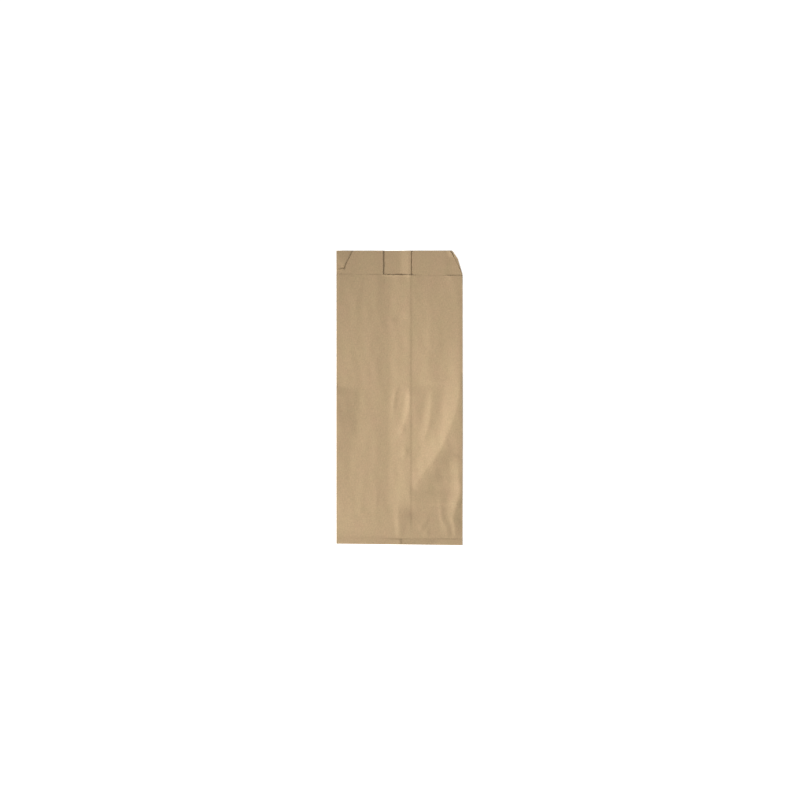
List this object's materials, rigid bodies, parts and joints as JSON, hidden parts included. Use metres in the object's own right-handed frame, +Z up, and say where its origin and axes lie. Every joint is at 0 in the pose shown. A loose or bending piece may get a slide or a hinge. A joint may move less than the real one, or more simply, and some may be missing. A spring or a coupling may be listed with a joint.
{
  "type": "greaseproof paper bag",
  "caption": "Flat side-gusseted paper bag folded from a sheet, with a stepped open mouth and a turned-over, glued bottom, for bread, pastries or sandwiches.",
  "frame": {"origin": "centre of the bag's footprint, on the surface it lies on", "axes": "+Y from the closed bottom to the mouth, +X to the right seen from above with the mouth away, +Z up through the front panel"},
  "size_m": [0.12, 0.28, 0.002],
  "materials": {
    "kraft_paper": "unbleached brown greaseproof kraft paper, matt with a faint calendered sheen, creased from handling"
  },
  "bodies": {
    "root": {"paper_bag": "kraft_paper"}
  },
  "joints": []
}
